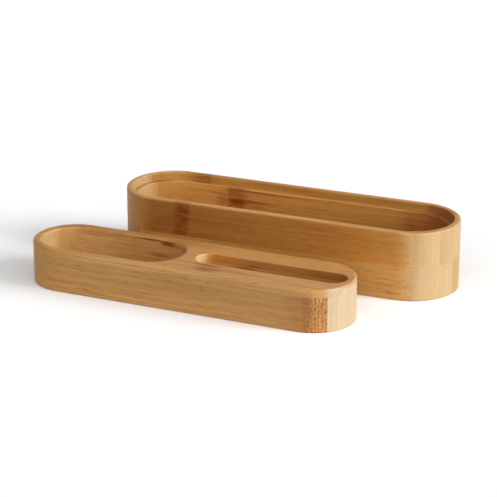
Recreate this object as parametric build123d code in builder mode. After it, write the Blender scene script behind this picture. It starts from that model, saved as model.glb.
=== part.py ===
"""Bamboo pen tray: a deep box with rounded ends, and the lid tray that stands beside it, glued up from strips."""
import os

from build123d import *

os.makedirs("parts", exist_ok=True)

# Box, in millimetres
box_length = 220.0
box_width = 60.0
lower_board = 22.0  # thickness of the board that holds the floor
upper_board = 22.0  # thickness of the board that holds the rim
floor_thickness = 6.0
rim_wall = 4.0  # wall beside the rebate
rebate_depth = 5.0
ledge_width = 3.5  # step that the lid tray sits on
rim_round = 1.5
rebate_round = 0.8
ledge_round = 0.6
box_base_round = 1.0

# Lid tray
seat_clearance = 0.5  # all round, in the rebate
tray_core = 22.0  # thickness of the board under the top layer
tray_layer = 5.0  # thickness of the top layer
pocket_wall = 5.5
pocket_length = 94.0
pocket_depth = 20.0
bridge = 10.2  # wood between the pocket and the slot
slot_width = 16.4
slot_depth = 18.0
slot_end_wall = 4.8
tray_round = 1.8
pocket_round = 1.8
slot_round = 0.8
tray_base_round = 1.0

# Strips on edge, side by side: what is left of the front and back ones, and how many whole ones lie between
box_front_strip = 2.0
box_back_strip = 6.0
box_whole_strips = 5
tray_front_strip = 6.2
tray_back_strip = 3.2
tray_whole_strips = 4
layer_slot_edge = 4.55  # what the middle flat strip of the top layer keeps on either side of the slot

# Where the lid tray stands, in front of the box
tray_x = -35.0
tray_gap = 17.3
tray_turn = -1.2  # degrees about the vertical

# What a strip is called that an opening leaves in one, two or three pieces
side_names = {1: [""], 2: ["_left", "_right"], 3: ["_left", "_middle", "_right"]}

# Sizes that follow from those above
box_height = lower_board + upper_board
ledge_height = box_height - rebate_depth
rebate_length = box_length - 2 * rim_wall
rebate_width = box_width - 2 * rim_wall
cavity_length = rebate_length - 2 * ledge_width
cavity_width = rebate_width - 2 * ledge_width
tray_length = rebate_length - 2 * seat_clearance
tray_width = rebate_width - 2 * seat_clearance
tray_height = tray_core + tray_layer
pocket_width = tray_width - 2 * pocket_wall
slot_length = tray_length - pocket_wall - pocket_length - bridge - slot_end_wall
pocket_x = -tray_length / 2 + pocket_wall + pocket_length / 2
slot_x = tray_length / 2 - slot_end_wall - slot_length / 2
tray_y = -box_width / 2 - tray_gap - tray_width / 2
tray_plane = Plane(Location((tray_x, tray_y, 0), (0, 0, tray_turn)))


def glue_lines(width, front_strip, back_strip, whole_strips):
    """Return the edges of the strips across a board, from its front to its back."""
    front = -width / 2
    thickness = (width - front_strip - back_strip) / whole_strips
    return [front] + [front + front_strip + thickness * count for count in range(whole_strips + 1)] + [width / 2]


def write_strips(block, name, plane, length, bottom, top, lines):
    """Cut one board out of a milled block, strip by strip, and write each piece."""
    for number, (front, back) in enumerate(zip(lines, lines[1:]), 1):
        with BuildPart() as strip:
            add(block)
            with BuildSketch(plane.offset(bottom)):
                with Locations((0, (front + back) / 2)):
                    Rectangle(length, back - front)
            extrude(amount=top - bottom, mode=Mode.INTERSECT)
        pieces = strip.solids().sort_by(Axis.X)
        for piece, side in zip(pieces, side_names[len(pieces)]):
            piece.label = f"{name}_{number}{side}"
            export_step(piece, f"parts/{piece.label}.step")


# The box as it is milled, before it is told apart into its strips
with BuildPart() as box:
    with BuildSketch():
        SlotOverall(box_length, box_width)
    extrude(amount=box_height)
    fillet(box.edges().group_by(Axis.Z)[0], box_base_round)
    fillet(box.edges().group_by(Axis.Z)[-1], rim_round)
    with BuildSketch(Plane.XY.offset(ledge_height)):
        SlotOverall(rebate_length, rebate_width)
    extrude(amount=rebate_depth, mode=Mode.SUBTRACT)
    fillet(box.edges(Select.LAST).group_by(Axis.Z)[-1], rebate_round)
    with BuildSketch(Plane.XY.offset(floor_thickness)):
        SlotOverall(cavity_length, cavity_width)
    extrude(amount=ledge_height - floor_thickness, mode=Mode.SUBTRACT)
    fillet(box.edges(Select.LAST).group_by(Axis.Z)[-1], ledge_round)

# The lid tray as it is milled
with BuildPart() as tray:
    with BuildSketch(tray_plane):
        SlotOverall(tray_length, tray_width)
    extrude(amount=tray_height)
    fillet(tray.edges().group_by(Axis.Z)[0], tray_base_round)
    fillet(tray.edges().group_by(Axis.Z)[-1], tray_round)
    with BuildSketch(tray_plane.offset(tray_height - pocket_depth)):
        with Locations((pocket_x, 0)):
            SlotOverall(pocket_length, pocket_width)
    extrude(amount=pocket_depth, mode=Mode.SUBTRACT)
    fillet(tray.edges(Select.LAST).group_by(Axis.Z)[-1], pocket_round)
    with BuildSketch(tray_plane.offset(tray_height - slot_depth)):
        with Locations((slot_x, 0)):
            SlotOverall(slot_length, slot_width)
    extrude(amount=slot_depth, mode=Mode.SUBTRACT)
    fillet(tray.edges(Select.LAST).group_by(Axis.Z)[-1], slot_round)

box_lines = glue_lines(box_width, box_front_strip, box_back_strip, box_whole_strips)
write_strips(box.part, "box_lower_strip", Plane.XY, box_length, 0, lower_board, box_lines)
write_strips(box.part, "box_upper_strip", Plane.XY, box_length, lower_board, box_height, box_lines)

tray_lines = glue_lines(tray_width, tray_front_strip, tray_back_strip, tray_whole_strips)
write_strips(tray.part, "tray_core_strip", tray_plane, tray_length, 0, tray_core, tray_lines)

layer_seam = slot_width / 2 + layer_slot_edge
layer_lines = [-tray_width / 2, -layer_seam, layer_seam, tray_width / 2]
write_strips(tray.part, "tray_top_strip", tray_plane, tray_length, tray_core, tray_height, layer_lines)
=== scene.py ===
import math

import bpy
from mathutils import Matrix, Vector

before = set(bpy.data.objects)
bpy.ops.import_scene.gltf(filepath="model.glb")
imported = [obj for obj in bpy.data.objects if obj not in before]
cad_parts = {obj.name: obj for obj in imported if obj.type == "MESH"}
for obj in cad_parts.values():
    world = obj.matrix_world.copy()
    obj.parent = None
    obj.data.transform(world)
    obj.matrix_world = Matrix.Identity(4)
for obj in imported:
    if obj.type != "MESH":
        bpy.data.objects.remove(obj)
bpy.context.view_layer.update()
print("frame loaded:", len(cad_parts), "strips")

millimetre = 0.001

# The two glued-up blocks: where each one stands and how it is turned, in millimetres and degrees
blocks = {
    "box": {"place": (0, 0, 0), "turn": 0.0},
    "tray": {"place": (-35.0, -72.8, 0), "turn": -1.2},
}

# Bamboo tones in linear colour
tones = {
    "amber": (0.35, 0.136, 0.0217),  # sides of the strips
    "toffee": (0.497, 0.24, 0.06),
    "honey": (0.4, 0.191, 0.045),
    "chestnut": (0.535, 0.248, 0.055),
    "hazel": (0.478, 0.225, 0.049),
    "russet": (0.275, 0.103, 0.029),
    "flax": (0.39, 0.208, 0.064),
    "straw": (0.371, 0.19, 0.0545),
    "cream": (0.42, 0.218, 0.065),
    "ginger": (0.565, 0.262, 0.063),
    "biscuit": (0.56, 0.31, 0.1),
    "almond": (0.413, 0.287, 0.142),  # cut ends where they face the key lamp, painted paler as lit
    "corn": (0.464, 0.315, 0.157),
    "millet": (0.460, 0.310, 0.142),
    "bran": (0.402, 0.268, 0.122),
    "sand": (0.375, 0.238, 0.089),
    "wheat": (0.396, 0.257, 0.115),
    "oat": (0.445, 0.33, 0.204),
    "vanilla": (0.513, 0.348, 0.158),
}


def addNode(tree, kind, links=None, **settings):
    node = tree.nodes.new("ShaderNode" + kind)
    for key, value in settings.items():
        setattr(node, key, value)
    for socket, value in (links or {}).items():
        if isinstance(value, bpy.types.NodeSocket):
            tree.links.new(value, node.inputs[socket])
        else:
            node.inputs[socket].default_value = value
    return node


def calc(tree, operation, *values, clamp=False):
    links = dict(enumerate(values))
    return addNode(tree, "Math", links, operation=operation, use_clamp=clamp).outputs[0]


def ease(tree, value, start, end, low=0.0, high=1.0):  # low before start, high after end, smooth between
    links = {"Value": value, "From Min": start, "From Max": end, "To Min": low, "To Max": high}
    return addNode(tree, "MapRange", links, interpolation_type="SMOOTHSTEP").outputs[0]


def times(tree, first, *others):
    for other in others:
        first = calc(tree, "MULTIPLY", first, other)
    return first


mixInputs = (0, 6, 7)  # where a Mix node takes its share and two colours, and gives the new one
mixOutput = 2


def blendColour(tree, share, first, second, mode="MIX"):
    values = [(*value, 1) if isinstance(value, tuple) else value for value in (share, first, second)]
    links = dict(zip(mixInputs, values))
    return addNode(tree, "Mix", links, data_type="RGBA", blend_type=mode).outputs[mixOutput]


def tinted(tree, colour, share, tint):
    return blendColour(tree, share, colour, tint, "MULTIPLY")


def grey(tree, value):
    return addNode(tree, "CombineXYZ", {0: value, 1: value, 2: value}).outputs[0]


def scaled(colour, factors):
    return tuple(part * factor for part, factor in zip(colour, factors))


plainLayer = {"shift": 0, "detail": 2.0, "rough": 0.5, "twist": 0.0}  # unless a layer says otherwise


def stretched(tree, axes, seed, layer):  # coordinates in waves of one layer of the grain
    shift = seed + {**plainLayer, **layer}["shift"]
    parts = [calc(tree, "MULTIPLY_ADD", axis, waves, shift) for axis, waves in zip(axes, layer["waves"])]
    return addNode(tree, "CombineXYZ", dict(enumerate(parts))).outputs[0]


def noise(tree, axes, seed, layer):
    layer = {**plainLayer, **layer}
    links = {
        "Vector": stretched(tree, axes, seed, layer), "Scale": 1.0, "Detail": layer["detail"],
        "Roughness": layer["rough"], "Distortion": layer["twist"]}
    return addNode(tree, "TexNoise", links).outputs[0]


def centred(tree, value, size):  # a noise as a wave of that size about zero
    return calc(tree, "MULTIPLY_ADD", value, size, -size / 2)


# Layers of the grain: waves per millimetre along, across and up the strip, and how strongly the layer shows
layers = {
    "stray": {"waves": (1 / 70, 1 / 9, 1 / 9), "size": 1.6},  # millimetres that fibres wander on their way
    "fine": {"waves": (1 / 45, 2.2, 2.2), "size": 0.85, "detail": 3.0, "rough": 0.6},
    "streak": {"waves": (1 / 60, 0.6, 0.6), "size": 0.85, "shift": 7},
    "broad": {"waves": (1 / 150, 0.11, 0.11), "size": 0.45, "shift": 13},
    "bundles": {"waves": (1 / 60, 1.05, 1.05), "size": 0.12, "shift": 3, "edge": (0.08, 0.36)},
    "dashes": {"waves": (1 / 9, 1.5, 1.5), "size": 0.34, "shift": 23, "detail": 1.0, "edge": (0.58, 0.72)},
    "endLines": {"waves": (0.0, 0.7, 0.02), "size": 0.3, "shift": 41},  # upright lines on the cut ends
}
plainTone = 0.5  # dark fibres are at 0, pale ones at 1


def grainFields(tree, axes, seed):
    x, y, z = axes
    stray = centred(tree, noise(tree, axes, seed, layers["stray"]), layers["stray"]["size"])
    axes = (x, calc(tree, "ADD", y, stray), calc(tree, "ADD", z, stray))
    fine, streak, broad, dashes = (
        noise(tree, axes, seed, layers[name]) for name in ("fine", "streak", "broad", "dashes"))
    dashes = ease(tree, dashes, *layers["dashes"]["edge"])
    cells = {"Vector": stretched(tree, axes, seed, layers["bundles"]), "Scale": 1.0}
    bundles = addNode(tree, "TexVoronoi", cells).outputs["Distance"]
    bundles = ease(tree, bundles, *layers["bundles"]["edge"], 1.0, 0.0)
    tone = plainTone
    for name, field in (("fine", fine), ("streak", streak), ("broad", broad)):
        tone = calc(tree, "ADD", tone, centred(tree, field, layers[name]["size"]))
    for name, field in (("bundles", bundles), ("dashes", dashes)):
        tone = calc(tree, "SUBTRACT", tone, times(tree, field, layers[name]["size"]), clamp=True)
    return {"axes": axes, "fine": fine, "streak": streak, "bundles": bundles, "tone": tone}


def addDrift(tree, colour, axes, drift):  # the strip changes tone along its length, or as it rises; some drifts are the cane's own tone, others painted light or shade
    share = ease(tree, axes["xyz".index(drift["along"])], *drift["between"])
    return tinted(tree, colour, 1.0, blendColour(tree, share, drift["left"], drift["right"]))


# A tint reaches faces that look one way; many tints paint light or shade by how a face is turned: the axis,
# its sense, and how squarely a face has to look there
faceWays = {"up": (2, 1.0), "front": (1, -1.0), "back": (1, 1.0), "left": (0, -1.0)}
faceEdge = (0.3, 0.9)
# It may keep to a stretch: the axis, and its share before and after the limit
tintLimits = {"above": (2, 0.0, 1.0), "below": (2, 1.0, 0.0), "after": (0, 0.0, 1.0), "before": (0, 1.0, 0.0)}


def addTint(tree, colour, axes, facing, tint):
    way, sense = faceWays[tint["faces"]]
    share = ease(tree, times(tree, facing[way], sense), *faceEdge)
    for limit, (axis, low, high) in tintLimits.items():
        if limit in tint:
            share = times(tree, share, ease(tree, axes[axis], *tint[limit], low, high))
    return tinted(tree, colour, share, tint["tint"])


knuckleGrain = {
    "ragged": {"waves": (0.04, 0.5, 0.5), "shift": 19},
    "blotch": {"shift": 31, "detail": 1.5, "twist": 0.4},
    "blotchEdge": (0.40, 0.60),
    "runEdge": (0.50, 0.66),
}


def addKnuckle(tree, colour, fields, knuckle, seed):
    axes = fields["axes"]
    half = knuckle["width"] / 2
    # The band leans, and each fibre meets its edge at a place of its own
    ragged = centred(tree, noise(tree, axes, seed, knuckleGrain["ragged"]), knuckle["ragged"])
    along = calc(tree, "MULTIPLY_ADD", axes[2], -knuckle["lean"], axes[0])
    along = calc(tree, "SUBTRACT", calc(tree, "ADD", along, ragged), knuckle["x"])
    softLeft, softRight = knuckle["soft"]
    left = ease(tree, along, -half - softLeft, -half + softLeft)
    right = ease(tree, along, half - softRight, half + softRight, 1.0, 0.0)
    blotch = noise(tree, axes, seed, {**knuckleGrain["blotch"], "waves": knuckle["blotch"]})
    blotch = ease(tree, blotch, *knuckleGrain["blotchEdge"], knuckle["least"], 1.0)
    band = times(tree, left, right, blotch)
    # Dark fibres run on past the band
    runLeft, runRight = knuckle["run"]
    near = ease(tree, along, -half - runLeft, -half)
    near = times(tree, near, ease(tree, along, half, half + runRight, 1.0, 0.0))
    runs = times(tree, near, ease(tree, fields["streak"], *knuckleGrain["runEdge"]), knuckle["runShade"])
    return tinted(tree, colour, calc(tree, "MAXIMUM", band, runs), knuckle["tint"])


markEdge = {"ragged": 1.2, "fade": (0.3, 1.1)}  # as shares of a mark's half sizes


def addMark(tree, colour, fields, mark):  # one dark streak with a middle and a size on two of the axes
    away = 0.0
    for name, axis in zip("xyz", fields["axes"]):
        if name in mark:
            middle, size = mark[name]
            part = calc(tree, "DIVIDE", calc(tree, "SUBTRACT", axis, middle), size / 2)
            away = calc(tree, "ADD", away, times(tree, part, part))
    away = calc(tree, "ADD", calc(tree, "SQRT", away), centred(tree, fields["fine"], markEdge["ragged"]))
    return tinted(tree, colour, ease(tree, away, *markEdge["fade"], mark["shade"], 0.0), mark["tint"])


def addWormyPatch(tree, colour, fields, patch, seed):  # grain cut flat across a knuckle, all little squiggles
    axes = fields["axes"]
    noises = {name: noise(tree, axes, seed, layer) for name, layer in patch["layers"].items()}
    along = calc(tree, "ADD", axes[0], centred(tree, noises["ragged"], patch["ragged"]))
    along = calc(tree, "SUBTRACT", along, patch["from"])
    inside = ease(tree, along, -patch["soft"], patch["soft"])
    ground = ease(tree, noises["ground"], *patch["groundEdge"], patch["groundLeast"], 1.0)
    colour = tinted(tree, colour, times(tree, inside, ground), patch["ground"])
    # It starts dark, and pales to the right
    paling = ease(tree, along, *patch["lead"])
    lead = times(tree, inside, calc(tree, "SUBTRACT", 1.0, paling))
    colour = tinted(tree, colour, lead, patch["leadTint"])
    # Upright lines, dark and pale in turn, that waver and break off
    turns = calc(tree, "MULTIPLY", axes[0], 2 * math.pi / patch["spacing"])
    wave = calc(tree, "SINE", calc(tree, "MULTIPLY_ADD", noises["waver"], patch["waver"], turns))
    dark = ease(tree, wave, *patch["darkWave"], patch["darkShare"], 0.0)
    dark = times(tree, dark, inside, ease(tree, noises["breaks"], *patch["darkBreaks"]))
    colour = blendColour(tree, dark, colour, patch["dark"])
    pale = ease(tree, wave, *patch["paleWave"], 0.0, patch["paleShare"])
    unbroken = ease(tree, noises["breaks"], *patch["paleBreaks"], 1.0, patch["paleLeast"])
    pale = times(tree, pale, inside, paling, unbroken)
    return blendColour(tree, pale, colour, patch["pale"])


surface = {
    "dark": (0.68, 0.57, 0.44),  # dark and pale fibres, as shares of the side's colour
    "pale": (1.20, 1.34, 1.55),
    "cutFacing": (0.1, 0.6),  # how far a face looks along the strip before it is a cut end
    "cutCalm": 0.75,  # share of the grain that a cut end loses
    "cutLevel": 0.75,  # brightness of dark fibres on an end painted pale as lit, and what pale ones add
    "cutContrast": 0.5,
    "seam": (0.06, 0.2),  # millimetres from a glue line where its shade starts to fade and is gone
    "seamTint": (0.45, 0.32, 0.2),
    "glossTones": (0.2, 0.8),  # tones of the fibres that are roughest and smoothest
    "roughness": (0.55, 0.40),
    "specular": 0.25,
    "bump": 0.35,
    "bumpDepth": 0.04,  # millimetres
    "bundleDepth": 0.5,  # as a share of the fine fibres' depth
}


def blockAxes(tree, block):  # millimetres in the block's own axes, and the way that the surface looks
    source = addNode(tree, "TexCoord").outputs
    place = addNode(tree, "Mapping", {
        "Vector": source["Object"],
        "Location": [value * millimetre for value in block["place"]],
        "Rotation": (0, 0, math.radians(block["turn"])),
        "Scale": (millimetre,) * 3}, vector_type="TEXTURE").outputs[0]
    axes = addNode(tree, "SeparateXYZ", {0: place}).outputs
    facing = addNode(tree, "SeparateXYZ", {0: source["Normal"]}).outputs
    return tuple(axes), tuple(facing)


def sideColour(tree, axes, facing, tone, look):
    side = scaled(tones[look["side"]], look["shade"])
    ramp = addNode(tree, "ValToRGB", {0: tone})
    ramp.color_ramp.elements.new(plainTone)
    fibres = (scaled(side, surface["dark"]), side, scaled(side, surface["pale"]))
    for element, fibre in zip(ramp.color_ramp.elements, fibres):
        element.color = (*fibre, 1)
    colour = ramp.outputs[0]
    for drift in look["drifts"]:
        colour = addDrift(tree, colour, axes, drift)
    for tint in look["tints"]:
        colour = addTint(tree, colour, axes, facing, tint)
    return colour


def addPaintedLitEnds(tree, colour, axes, facing, tone, look):  # painted light: upright faces turned right, towards the key lamp, take the paler end tones
    leftEnd, rightEnd = (scaled(tones[name], look["shade"]) for name in look["ends"])
    end = blendColour(tree, ease(tree, axes[0], *look["endBlend"]), leftEnd, rightEnd)
    fibres = calc(tree, "MULTIPLY_ADD", tone, surface["cutContrast"], surface["cutLevel"])
    end = tinted(tree, end, 1.0, grey(tree, fibres))
    squares = [times(tree, part, part) for part in facing[:2]]
    upright = calc(tree, "SQRT", calc(tree, "ADD", *squares))  # 1 on a wall, 0 on a top
    share = ease(tree, calc(tree, "DIVIDE", facing[0], upright), *look["endFacing"])
    share = times(tree, share, ease(tree, upright, *look["endRise"]))
    if "endFrom" in look:
        share = times(tree, share, ease(tree, axes[0], *look["endFrom"]))
    return blendColour(tree, share, colour, end)


def addEndLines(tree, colour, axes, cut, seed):
    lines = centred(tree, noise(tree, axes, seed, layers["endLines"]), layers["endLines"]["size"])
    return tinted(tree, colour, 1.0, grey(tree, calc(tree, "ADD", 1.0, times(tree, lines, cut))))


def addSeams(tree, colour, axes, seams, shade):  # thin glue lines
    for axis, position in seams:
        away = calc(tree, "ABSOLUTE", calc(tree, "SUBTRACT", axes[axis], position))
        colour = tinted(tree, colour, ease(tree, away, *surface["seam"], shade, 0.0), surface["seamTint"])
    return colour


def bambooMaterial(name, block, seams, look):
    material = bpy.data.materials.new(name)
    material.use_nodes = True
    tree = material.node_tree
    shader = tree.nodes["Principled BSDF"]
    seed = look["seed"]
    axes, facing = blockAxes(tree, block)
    fields = grainFields(tree, axes, seed)
    cut = ease(tree, calc(tree, "ABSOLUTE", facing[0]), *surface["cutFacing"])
    loud = calc(tree, "MULTIPLY_ADD", cut, -surface["cutCalm"], 1.0)
    tone = calc(tree, "MULTIPLY_ADD", calc(tree, "SUBTRACT", fields["tone"], plainTone), loud, plainTone)

    colour = sideColour(tree, axes, facing, tone, look)
    colour = addPaintedLitEnds(tree, colour, axes, facing, tone, look)
    colour = addEndLines(tree, colour, axes, cut, seed)
    if "knuckle" in look:
        colour = addKnuckle(tree, colour, fields, look["knuckle"], seed)
    for mark in look["marks"]:
        colour = addMark(tree, colour, fields, mark)
    if "patch" in look:
        colour = addWormyPatch(tree, colour, fields, look["patch"], seed)
    colour = addSeams(tree, colour, axes, seams, look["seamShade"])
    tree.links.new(colour, shader.inputs["Base Color"])

    rough = ease(tree, tone, *surface["glossTones"], *surface["roughness"])
    tree.links.new(rough, shader.inputs["Roughness"])
    shader.inputs["Specular IOR Level"].default_value = surface["specular"]
    height = calc(tree, "SUBTRACT", fields["fine"], times(tree, fields["bundles"], surface["bundleDepth"]))
    bump = addNode(tree, "Bump", {
        "Height": times(tree, height, loud), "Strength": surface["bump"],
        "Distance": surface["bumpDepth"] * millimetre})
    tree.links.new(bump.outputs[0], shader.inputs["Normal"])
    return material


# Knuckles of the cane: place and width along the strip, how soft the left and right edges are, how far dark
# fibres run out to the left and right, all in millimetres
frontKnuckle = {
    "x": -64.3, "width": 10.0, "lean": 0.09, "soft": (1.8, 0.5), "ragged": 2.4, "least": 0.75,
    "blotch": (0.06, 0.55, 0.55), "run": (9.0, 1.0), "runShade": 0.4, "tint": (0.76, 0.54, 0.27)}
insideKnuckle = {
    "x": -45.6, "width": 13.5, "lean": 0.0, "soft": (1.6, 5.0), "ragged": 6.0, "least": 0.8,
    "blotch": (0.16, 0.6, 0.6), "run": (10.0, 40.0), "runShade": 0.5, "tint": (0.69, 0.49, 0.30)}
rimKnuckle = {
    "x": -71.0, "width": 10.5, "lean": 0.0, "soft": (1.2, 0.6), "ragged": 2.5, "least": 0.6,
    "blotch": (0.16, 0.6, 0.6), "run": (8.0, 10.0), "runShade": 0.4, "tint": (0.70, 0.54, 0.41)}

# Single dark streaks: middle and length along the strip (x), and middle and thickness across (y) or up (z)
knuckleTint = (0.66, 0.48, 0.26)
frontMarks = [
    {"x": (-61.8, 4.0), "z": (42.4, 1.6), "shade": 0.8, "tint": knuckleTint},
    {"x": (-61.5, 6.0), "z": (40.4, 1.4), "shade": 0.8, "tint": knuckleTint},
    {"x": (-59.8, 11.0), "z": (38.2, 3.4), "shade": 1.0, "tint": knuckleTint},
    {"x": (-62.0, 9.0), "z": (35.2, 2.2), "shade": 0.6, "tint": knuckleTint},
    {"x": (-59.4, 8.5), "z": (32.9, 2.6), "shade": 1.0, "tint": knuckleTint},
    {"x": (-60.8, 7.0), "z": (30.6, 1.6), "shade": 0.7, "tint": knuckleTint},
    {"x": (-62.6, 4.0), "z": (28.0, 2.6), "shade": 0.7, "tint": knuckleTint},
    {"x": (-73.5, 20.0), "z": (30.2, 10.0), "shade": 0.8, "tint": (0.88, 0.82, 0.75)},
]
insideMarks = [
    {"x": (-46.5, 16.0), "z": (29.6, 6.0), "shade": 1.0, "tint": (0.64, 0.45, 0.22)},
    {"x": (-35.0, 38.0), "z": (30.9, 2.2), "shade": 0.9, "tint": (0.56, 0.42, 0.24)},
    {"x": (-27.0, 56.0), "z": (37.4, 2.0), "shade": 0.9, "tint": (0.58, 0.44, 0.26)},
    {"x": (-31.8, 16.0), "z": (28.3, 1.8), "shade": 0.7, "tint": (0.58, 0.44, 0.26)},
    {"x": (-57.5, 14.0), "z": (33.4, 1.8), "shade": 0.6, "tint": (0.66, 0.54, 0.38)},
    {"x": (-56.0, 12.0), "z": (31.0, 3.0), "shade": 0.6, "tint": (0.62, 0.46, 0.27)},
    {"x": (-57.0, 10.0), "z": (28.6, 5.0), "shade": 0.5, "tint": (0.66, 0.54, 0.38)},
]
pocketMarks = [
    {"x": (-25.4, 12.5), "z": (23.5, 5.0), "shade": 1.0, "tint": (0.49, 0.33, 0.14)},
    {"x": (-36.0, 28.0), "z": (24.9, 2.6), "shade": 1.0, "tint": (0.53, 0.37, 0.17)},
]
pocketWallMarks = [
    {"x": (-31.0, 18.0), "z": (15.8, 4.0), "shade": 0.9, "tint": (0.70, 0.57, 0.40)},
]
slotBackMarks = [
    {"x": (15.5, 16.0), "y": (-11.8, 4.0), "shade": 1.0, "tint": (0.60, 0.46, 0.26)},
    {"x": (26.0, 26.0), "y": (-12.0, 4.0), "shade": 0.8, "tint": (0.86, 0.77, 0.58)},
    {"x": (17.0, 24.0), "y": (-11.5, 7.0), "shade": 1.0, "tint": (0.84, 0.68, 0.38)},
    {"x": (38.0, 16.0), "z": (22.5, 1.8), "shade": 0.8, "tint": (0.64, 0.48, 0.28)},
    {"x": (104.2, 7.0), "z": (26.0, 2.4), "shade": 0.9, "tint": (0.84, 0.72, 0.52)},
]
slotWallMarks = [
    {"x": (32.0, 20.0), "z": (20.8, 2.2), "shade": 0.9, "tint": (0.64, 0.48, 0.28)},
]
slotFrontMarks = [
    {"x": (17.8, 21.0), "y": (-19.2, 5.0), "shade": 1.0, "tint": (0.60, 0.45, 0.26)},
    {"x": (18.5, 24.0), "y": (-16.0, 8.0), "shade": 1.0, "tint": (0.84, 0.68, 0.38)},
    {"x": (28.0, 38.0), "y": (-15.4, 7.0), "shade": 0.9, "tint": (0.86, 0.77, 0.58)},
    {"x": (44.0, 30.0), "y": (-16.6, 2.4), "shade": 0.6, "tint": (0.76, 0.66, 0.48)},
]

squigglePatch = {
    "from": 83.6, "soft": 0.8, "ragged": 2.0,  # its left edge along the strip, in millimetres
    "ground": (1.04, 1.0, 0.95), "groundEdge": (0.35, 0.65), "groundLeast": 0.4,
    "lead": (2.7, 6.3), "leadTint": (0.90, 0.84, 0.80),  # millimetres from the edge where it pales
    "spacing": 1.75, "waver": 13.0,  # millimetres from line to line, and how far a line swings
    "dark": (0.17, 0.066, 0.012), "darkShare": 0.9, "darkWave": (-0.9, -0.1), "darkBreaks": (0.44, 0.56),
    "pale": (0.60, 0.345, 0.14), "paleShare": 0.5, "paleWave": (0.2, 0.9), "paleBreaks": (0.46, 0.64),
    "paleLeast": 0.15,
    "layers": {
        "ragged": {"waves": (0.05, 0.7, 0.7), "shift": 19},
        "ground": {"waves": (0.5, 0.5, 0.3), "shift": 37},
        "waver": {"waves": (0.34, 0.34, 0.46), "shift": 43},
        "breaks": {"waves": (0.6, 0.6, 0.8), "shift": 59, "detail": 1.0},
    },
}

same = (1.0, 1.0, 1.0)


def toneDrift(between, left, right, along="x"):  # tints before and after a stretch along the strip, or up it
    return {"between": between, "left": left, "right": right, "along": along}


def faceTint(faces, tint, **limits):  # above, below, after, before: stretches where it comes or goes
    return {"faces": faces, "tint": tint, **limits}


# Tones of the left and right cut ends, painted paler where they face the key lamp, and where that painted
# light reaches
boxEnds = ("wheat", "almond")
trayEnds = ("wheat", "oat")
neverPale = (1.5, 2.0)  # further than any face turns
tipped = (0.25, 0.7)  # painted pale over the rounded top edge too
rightTip = (70, 80)  # painted pale only to the right of this stretch, in millimetres
rim = (40.0, 42.0)  # heights over which a face that looks up becomes a top
trayTop = (24.0, 26.0)
ledge = {"above": (36.5, 38.5), "below": (40, 41)}  # the step in the box's mouth
# painted shade on the ledge's top, darker still towards its left and right ends
ledgePaintedShade = [
    faceTint("up", (0.92, 0.90, 0.95), **ledge),
    faceTint("up", (0.85, 0.82, 0.78), **ledge, before=(-70, -45)),
    faceTint("up", (0.84, 0.80, 0.80), **ledge, after=(60, 85)),
]
pocketPaintedLight = [  # painted light: paler at the pocket's right end, which stands in shade
    toneDrift((-50, -18), same, (1.2, 1.15, 1.15)),
    toneDrift((-6, 4), same, (0.83, 0.87, 0.87)),
]
paintedFloorBounce = toneDrift((1, 15), (1.18, 1.185, 1.20), same, along="z")  # painted bounce light: paler near the floor
leftEndDrift = toneDrift((-92, -68), (0.95, 0.93, 0.78), same)

# What every strip has, unless its own look says otherwise
plainLook = {
    "endBlend": (-60, -20),  # where the left end's tone gives way to the right end's, in millimetres
    "endFacing": (0.0, 0.6),  # how far a face turns to the right, towards the key lamp, before it is all painted pale
    "endRise": (0.5, 0.9),  # and how upright it stands
    "seamShade": 0.16,
    "drifts": [],
    "tints": [],
    "marks": [],
}
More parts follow.
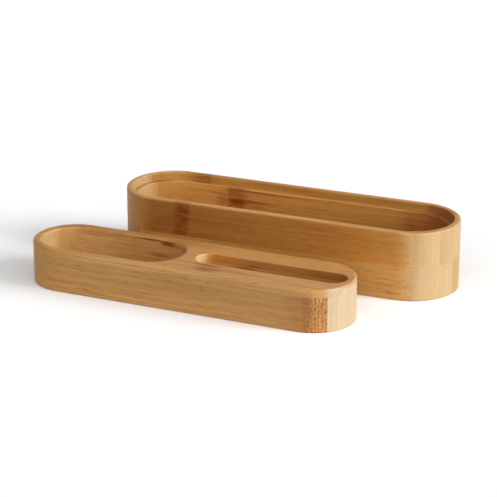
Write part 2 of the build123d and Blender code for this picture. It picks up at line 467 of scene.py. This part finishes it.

# Looks of the strips by number or end: tones of the sides and of the left and right cut ends, painted paler
# where they face the lamp, and marks
strips = {
    "box_lower_strip": {
        "1": {"side": "toffee", "ends": boxEnds, "seamShade": 0.04},
        "2": {"side": "honey", "ends": ("wheat", "corn"), "endFacing": (0.0, 0.5), "seamShade": 0.1},
        "4": {"side": "honey", "ends": ("wheat", "sand"), "seamShade": 0.3},
        "6": {"side": "chestnut", "ends": boxEnds, "endFrom": rightTip},
        "7": {"side": "chestnut", "ends": boxEnds, "endFrom": rightTip},
        "rest": {"side": "honey", "ends": boxEnds, "seamShade": 0.3},
    },
    "box_upper_strip": {
        "1": {
            "side": "amber", "ends": ("wheat", "vanilla"), "seamShade": 0.04,
            "knuckle": frontKnuckle, "marks": frontMarks,
            "drifts": [
                # painted light: darker at the left and paler towards the key lamp on the right
                toneDrift((-110, 110), (0.78, 0.70, 0.60), (1.21, 1.31, 1.47)),
                # painted sheen: paler and bluer round the left end
                toneDrift((-92, -78), (1.4, 1.6, 1.9), same),
                toneDrift((10, 45), same, (0.96, 0.935, 0.90)),
                toneDrift((60, 78), same, (1.0, 1.07, 1.22)),
                # painted bounce light: paler towards the bottom, above the tray
                toneDrift((22, 35), (1.19, 1.19, 1.16), (0.99, 0.99, 0.99), along="z"),
            ],
            "tints": [
                # painted sheen: the rim's top is painted paler and bluer, less so to the right
                faceTint("up", (1.52, 2.06, 4.0), above=rim),
                faceTint("up", (0.75, 0.66, 0.52), above=rim, after=(0, 60)),
            ],
        },
        "2": {
            "side": "honey", "ends": ("wheat", "millet"), "endFacing": (0.0, 0.67), "seamShade": 0.1,
            "drifts": [
                toneDrift((-104, -91), same, (0.92, 0.84, 0.68)),
                # painted bounce light: paler towards the bottom
                toneDrift((22, 40), (1.12, 1.14, 1.15), (0.97, 0.97, 0.97), along="z"),
            ],
            "tints": [
                # painted sheen: the rim's top is painted paler and bluer, less so to the right
                faceTint("up", (1.2, 1.35, 1.7), above=rim),
                faceTint("up", (0.84, 0.80, 0.76), above=rim, after=(0, 60)),
            ],
        },
        "6": {
            "side": "chestnut", "ends": boxEnds, "endFrom": rightTip,
            "knuckle": insideKnuckle, "marks": insideMarks,
            "drifts": [
                toneDrift((-100, -80), (0.60, 0.60, 0.66), (1.15, 1.21, 1.36)),
                toneDrift((-70, -52), same, (0.925, 0.88, 0.775)),
                toneDrift((10, 50), same, (0.94, 0.91, 0.88)),
                # darker towards the inner right end: a darker zone of the cane, then painted shade as the
                # wall turns from the lamp
                toneDrift((60, 74), same, (0.84, 0.66, 0.62)),
                toneDrift((76, 92), same, (0.70, 0.69, 0.68)),
            ],
            # painted shade on the ledge, and painted sheen, paler and bluer, on the rim's top
            "tints": [*ledgePaintedShade, faceTint("up", (1.2, 1.48, 2.0), above=rim)],
        },
        "7": {
            "side": "hazel", "ends": boxEnds, "endFrom": rightTip, "knuckle": rimKnuckle,
            "drifts": [toneDrift((-92, -74), (1.1, 1.13, 1.26), same)],
            "tints": [
                *ledgePaintedShade,
                faceTint("up", (0.92, 0.90, 0.95), above=rim),
                faceTint("up", (0.76, 0.86, 1.0), above=rim, before=(-40, 20)),
                faceTint("front", (0.97, 0.92, 0.74), after=(-45, -28), before=(0, 15)),
                # painted shade: darker towards the inner right end, which faces away from the lamp
                faceTint("front", (0.72, 0.62, 0.62), after=(78, 86)),
            ],
        },
        "left": {"side": "flax", "ends": boxEnds, "endFacing": (0.86, 0.94)},
        "right": {
            "side": "russet", "ends": ("wheat", "bran"), "seamShade": 0.3,
            "tints": [
                # painted shade on the ledge, and painted sheen, paler and bluer, on the rim's top
                faceTint("up", (0.78, 0.73, 0.73), **ledge),
                faceTint("up", (1.48, 1.98, 1.95), above=rim),
            ],
        },
    },
    "tray_core_strip": {
        "1": {
            "side": "straw", "ends": trayEnds, "endFacing": neverPale, "patch": squigglePatch,
            "drifts": [leftEndDrift, paintedFloorBounce, toneDrift((66, 86), same, (0.87, 0.74, 0.63))],
        },
        "4": {
            "side": "ginger", "ends": trayEnds, "endFacing": (0.76, 0.96), "marks": slotWallMarks,
            "drifts": [
                *pocketPaintedLight,
                toneDrift((-100, -70), (0.64, 0.66, 0.7), same),
                toneDrift((25, 75), same, (0.95, 0.88, 0.88)),
            ],
            "tints": [faceTint("front", (1.0, 0.95, 0.80), after=(8, 12), before=(25, 50))],
        },
        "5": {
            "side": "biscuit", "ends": trayEnds, "endFrom": rightTip, "marks": pocketWallMarks,
            "drifts": [
                toneDrift((-97, -80), (0.70, 0.68, 0.62), (1.07, 1.12, 1.28)),
                toneDrift((-74, -45), same, (0.875, 0.815, 0.675)),
            ],
        },
        "rest": {"side": "straw", "ends": trayEnds, "drifts": [leftEndDrift, paintedFloorBounce, *pocketPaintedLight]},
    },
    "tray_top_strip": {
        "1": {
            "side": "cream", "ends": trayEnds, "endFacing": (0.5, 0.74), "endRise": tipped,
            "marks": slotFrontMarks,
            "drifts": [leftEndDrift],
            "tints": [
                faceTint("up", (1.0, 0.95, 0.85), above=trayTop),
                faceTint("up", (0.89, 0.85, 0.74), above=trayTop, before=(-60, -10)),
                faceTint("up", (1.06, 1.07, 1.08), above=trayTop, after=(75, 92)),
                faceTint("front", (1.0, 1.06, 1.13)),
                faceTint("front", (0.87, 0.83, 0.72), before=(-88, -52)),
            ],
        },
        "2_left": {
            "side": "cream", "ends": trayEnds, "endFacing": (0.76, 0.96),
            "drifts": [leftEndDrift],
            "tints": [faceTint("up", (0.9, 0.85, 0.7), above=trayTop)],
        },
        "2_right": {
            "side": "cream", "ends": ("vanilla", "oat"), "endBlend": (25, 60), "endFacing": (0.4, 0.85),
            "endRise": tipped, "marks": slotBackMarks,
            "tints": [
                faceTint("up", (1.02, 0.98, 0.92), above=trayTop),
                faceTint("front", (1.10, 0.96, 0.77)),
                faceTint("front", (0.84, 0.67, 0.54), after=(58, 82)),
                faceTint("left", (0.86, 0.72, 0.55)),
                # painted highlight: faces that look back, towards the key lamp, are painted paler
                faceTint("back", (1.2, 1.2, 1.25)),
                faceTint("front", (1.16, 1.08, 0.92), before=(22, 40)),
            ],
        },
        "3": {
            "side": "cream", "ends": trayEnds, "endFrom": rightTip, "endRise": tipped, "marks": pocketMarks,
            "drifts": [
                toneDrift((-40, 20), (0.86, 0.79, 0.70), same),
                toneDrift((-96, -76), (0.84, 0.86, 0.88), same),
            ],
            "tints": [
                faceTint("up", (1.02, 0.93, 0.82), above=trayTop),
                faceTint("up", (0.88, 0.86, 0.74), above=trayTop, before=(-20, 20)),
                faceTint("up", (1.01, 0.99, 0.96), above=trayTop, after=(20, 45)),
                faceTint("up", (1.08, 1.10, 1.12), above=trayTop, after=(75, 92)),
                faceTint("front", (1.4, 1.5, 1.9)),
                faceTint("front", (0.96, 0.93, 0.84), after=(-75, -40)),
                faceTint("front", (0.86, 0.80, 0.70), after=(-32, -18)),
            ],
        },
    },
}

# No two strips are quite alike: steps of the grain's seed, and how far the tones swing in each colour
variety = {
    "stripStep": 17.3, "boardStep": 101.7, "swing": 0.025, "swingStep": 2.7, "colours": (1.0, 1.2, 1.5)}
seamDepth = 0.05  # millimetres that a strip's face lies inside its block, at least, where it is glued


def stripLimits(node, block):  # lowest and highest place on each of the block's own axes, in millimetres
    place = Matrix.Translation([value * millimetre for value in block["place"]])
    toBlock = (place @ Matrix.Rotation(math.radians(block["turn"]), 4, "Z")).inverted()
    points = [(toBlock @ vertex.co) / millimetre for vertex in node.data.vertices]
    return [(min(places), max(places)) for places in zip(*points)]


def findSeams(limits, members):  # faces of a strip that lie inside its block, as axis and position
    seams = []
    for axis in (1, 2):
        outer = min(member[axis][0] for member in members), max(member[axis][1] for member in members)
        for place, edge in zip(limits[axis], outer):
            if abs(place - edge) > seamDepth:
                seams.append((axis, place))
    return seams


def dressStrips():
    limits = {name: stripLimits(node, blocks[name.split("_")[0]]) for name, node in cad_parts.items()}
    for boardNumber, (board, looks) in enumerate(strips.items()):
        blockName = board.split("_")[0]
        members = [limits[name] for name in limits if name.startswith(blockName)]
        for name in sorted(name for name in limits if name.startswith(board)):
            label = name[len(board) + 1:]
            number, *end = label.split("_")
            look = next(looks[key] for key in (label, number, *end, "rest") if key in looks)
            seed = variety["stripStep"] * int(number) + variety["boardStep"] * boardNumber
            swing = variety["swing"] * math.sin(variety["swingStep"] * seed)
            shade = [1 + share * swing for share in variety["colours"]]
            look = {**plainLook, **look, "seed": seed, "shade": shade}
            seams = findSeams(limits[name], members)
            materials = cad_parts[name].data.materials
            materials.clear()
            materials.append(bambooMaterial(name + "_bamboo", blocks[blockName], seams, look))


dressStrips()
print("strips dressed")

# Degrees down and round, metres to the aim, and millimetres of lens and sensor
cameraSettings = {
    "pitch": 20.109, "yaw": 22.9, "distance": 1.309875, "aim": (-0.025462, -0.006597, 0.010465),
    "lens": 150.1, "sensor": 36.0}


def makeCamera():
    pitch, yaw = math.radians(cameraSettings["pitch"]), math.radians(cameraSettings["yaw"])
    back = Vector((math.sin(yaw) * math.cos(pitch), -math.cos(yaw) * math.cos(pitch), math.sin(pitch)))
    data = bpy.data.cameras.new("camera")
    data.lens = cameraSettings["lens"]
    data.sensor_width = cameraSettings["sensor"]
    camera = bpy.data.objects.new("camera", data)
    camera.location = Vector(cameraSettings["aim"]) + back * cameraSettings["distance"]
    camera.rotation_euler = (math.pi / 2 - pitch, 0, yaw)
    bpy.context.scene.collection.objects.link(camera)
    bpy.context.scene.camera = camera


# Where each lamp comes from: degrees round from the right towards the back, and degrees above the floor
lamps = {
    "key": {"side": 5.0, "height": 21.5, "strength": 3.65, "softness": 30.0},
    "fill": {"side": -72.0, "height": 38.0, "strength": 1.9, "softness": 100.0},
}


def makeLamps():
    for name, settings in lamps.items():
        data = bpy.data.lights.new(name, "SUN")
        data.energy = settings["strength"]
        data.angle = math.radians(settings["softness"])
        lamp = bpy.data.objects.new(name, data)
        lamp.rotation_euler = (0, math.radians(90 - settings["height"]), math.radians(settings["side"]))
        bpy.context.scene.collection.objects.link(lamp)


worldStrength = 0.265


def makeWorld():  # white where it is seen or mirrored, dimmer where it lights the wood
    world = bpy.data.worlds.new("studio")
    world.use_nodes = True
    tree = world.node_tree
    path = addNode(tree, "LightPath").outputs
    mirrored = calc(tree, "MAXIMUM", path["Is Glossy Ray"], path["Is Transmission Ray"])
    seen = calc(tree, "MAXIMUM", path["Is Camera Ray"], mirrored)
    strength = calc(tree, "MULTIPLY_ADD", seen, 1.0 - worldStrength, worldStrength)
    tree.links.new(strength, tree.nodes["Background"].inputs["Strength"])
    tree.nodes["Background"].inputs["Color"].default_value = (1, 1, 1, 1)
    bpy.context.scene.world = world


floorSettings = {"size": 12.0, "colour": (0.95, 0.95, 0.95, 1), "roughness": 0.9}  # the size is in metres


def makeFloor():
    bpy.ops.object.select_all(action="DESELECT")
    bpy.ops.mesh.primitive_plane_add(size=floorSettings["size"])
    floor = bpy.context.object
    floor.name = "floor"
    material = bpy.data.materials.new("paleFloor")
    material.use_nodes = True
    shader = material.node_tree.nodes["Principled BSDF"]
    shader.inputs["Base Color"].default_value = floorSettings["colour"]
    shader.inputs["Roughness"].default_value = floorSettings["roughness"]
    floor.data.materials.append(material)


makeCamera()
print("camera placed")
makeLamps()
makeWorld()
print("lamps lit")
makeFloor()
print("floor laid")
bpy.context.scene.view_settings.view_transform = "Standard"
